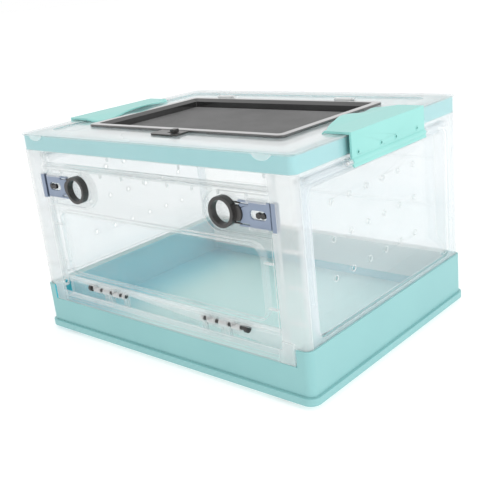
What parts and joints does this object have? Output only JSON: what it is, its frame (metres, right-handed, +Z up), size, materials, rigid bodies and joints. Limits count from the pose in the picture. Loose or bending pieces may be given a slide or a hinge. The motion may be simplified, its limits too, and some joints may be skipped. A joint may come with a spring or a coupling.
{
  "type": "travel hamster cage",
  "caption": "Clear-walled travel hamster cage with a teal tray and frame, a drop-down front door with slide latches, a netted lid window and end clips.",
  "frame": {"origin": "middle of the footprint, on the ground under the feet", "axes": "+X to the cage's right as seen from the front, -Y to the front door, +Z up"},
  "size_m": [0.435, 0.321, 0.2626],
  "materials": {
    "tray_teal": "satin moulded polypropylene",
    "frame_teal": "satin moulded polypropylene",
    "clip_teal": "satin moulded polypropylene",
    "clear_wall": "clear, slightly milky polypropylene",
    "clear_lid": "clear, slightly milky polypropylene",
    "clear_door": "clear polystyrene",
    "black_gloss": "gloss black moulding",
    "black_matte": "matte black moulding",
    "net_grey": "fine woven net",
    "bolt_blue": "blue-grey moulding",
    "foot_rubber": "soft black rubber",
    "pin_steel": "drawn wire"
  },
  "bodies": {
    "body": {"base_tray": "tray_teal", "tray_floor": "tray_teal", "feet": "foot_rubber", "front_frame": "clear_wall", "back_wall": "clear_wall", "upper_frame": "frame_teal", "lid": "clear_lid", "window_hinge_pins": "black_matte", "door_pin_right": "black_matte", "door_pin_left": "black_matte", "side_frame_right": "clear_wall", "side_frame_left": "clear_wall", "side_pin_right": "pin_steel", "side_pin_left": "pin_steel", "clip_pin_right": "pin_steel", "clip_pin_left": "pin_steel", "latch_keeper_right": "bolt_blue", "latch_keeper_left": "bolt_blue"},
    "door": {"front_door": "clear_door", "latch_peg_right": "black_matte", "latch_peg_left": "black_matte"},
    "window": {"window_frame": "black_gloss", "window_mesh": "net_grey"},
    "slider": {"window_slider": "black_matte"},
    "panel_right": {"side_panel_right": "clear_wall"},
    "clip_arm_right": {"clip_right": "clip_teal"},
    "latch_right": {"latch_slider_right": "black_gloss", "latch_bolt_right": "bolt_blue"},
    "panel_left": {"side_panel_left": "clear_wall"},
    "clip_arm_left": {"clip_left": "clip_teal"},
    "latch_left": {"latch_slider_left": "black_gloss", "latch_bolt_left": "bolt_blue"}
  },
  "joints": [
    {"name": "front_door", "type": "hinge", "parent": "body", "child": "door", "pos_m": [0, -0.15, 0.068], "axis": [1, 0, 0], "range_deg": [0, 110]},
    {"name": "lid_window", "type": "hinge", "parent": "body", "child": "window", "pos_m": [0, 0.0955, 0.2588], "axis": [-1, 0, 0], "range_deg": [0, 100]},
    {"name": "window_slider", "type": "slide", "parent": "window", "child": "slider", "axis": [-1, 0, 0], "range_m": [0, 0.008]},
    {"name": "latch_right", "type": "slide", "parent": "door", "child": "latch_right", "axis": [1, 0, 0], "range_m": [0, 0.007]},
    {"name": "clip_right", "type": "hinge", "parent": "body", "child": "clip_arm_right", "pos_m": [0.214, 0, 0.231], "axis": [0, 1, 0], "range_deg": [0, 90]},
    {"name": "side_panel_right", "type": "hinge", "parent": "body", "child": "panel_right", "pos_m": [0.197, 0, 0.2265], "axis": [0, 1, 0], "range_deg": [0, 88]},
    {"name": "latch_left", "type": "slide", "parent": "door", "child": "latch_left", "axis": [-1, 0, 0], "range_m": [0, 0.007]},
    {"name": "clip_left", "type": "hinge", "parent": "body", "child": "clip_arm_left", "pos_m": [-0.214, 0, 0.231], "axis": [0, -1, 0], "range_deg": [0, 90]},
    {"name": "side_panel_left", "type": "hinge", "parent": "body", "child": "panel_left", "pos_m": [-0.197, 0, 0.2265], "axis": [0, -1, 0], "range_deg": [0, 88]}
  ]
}
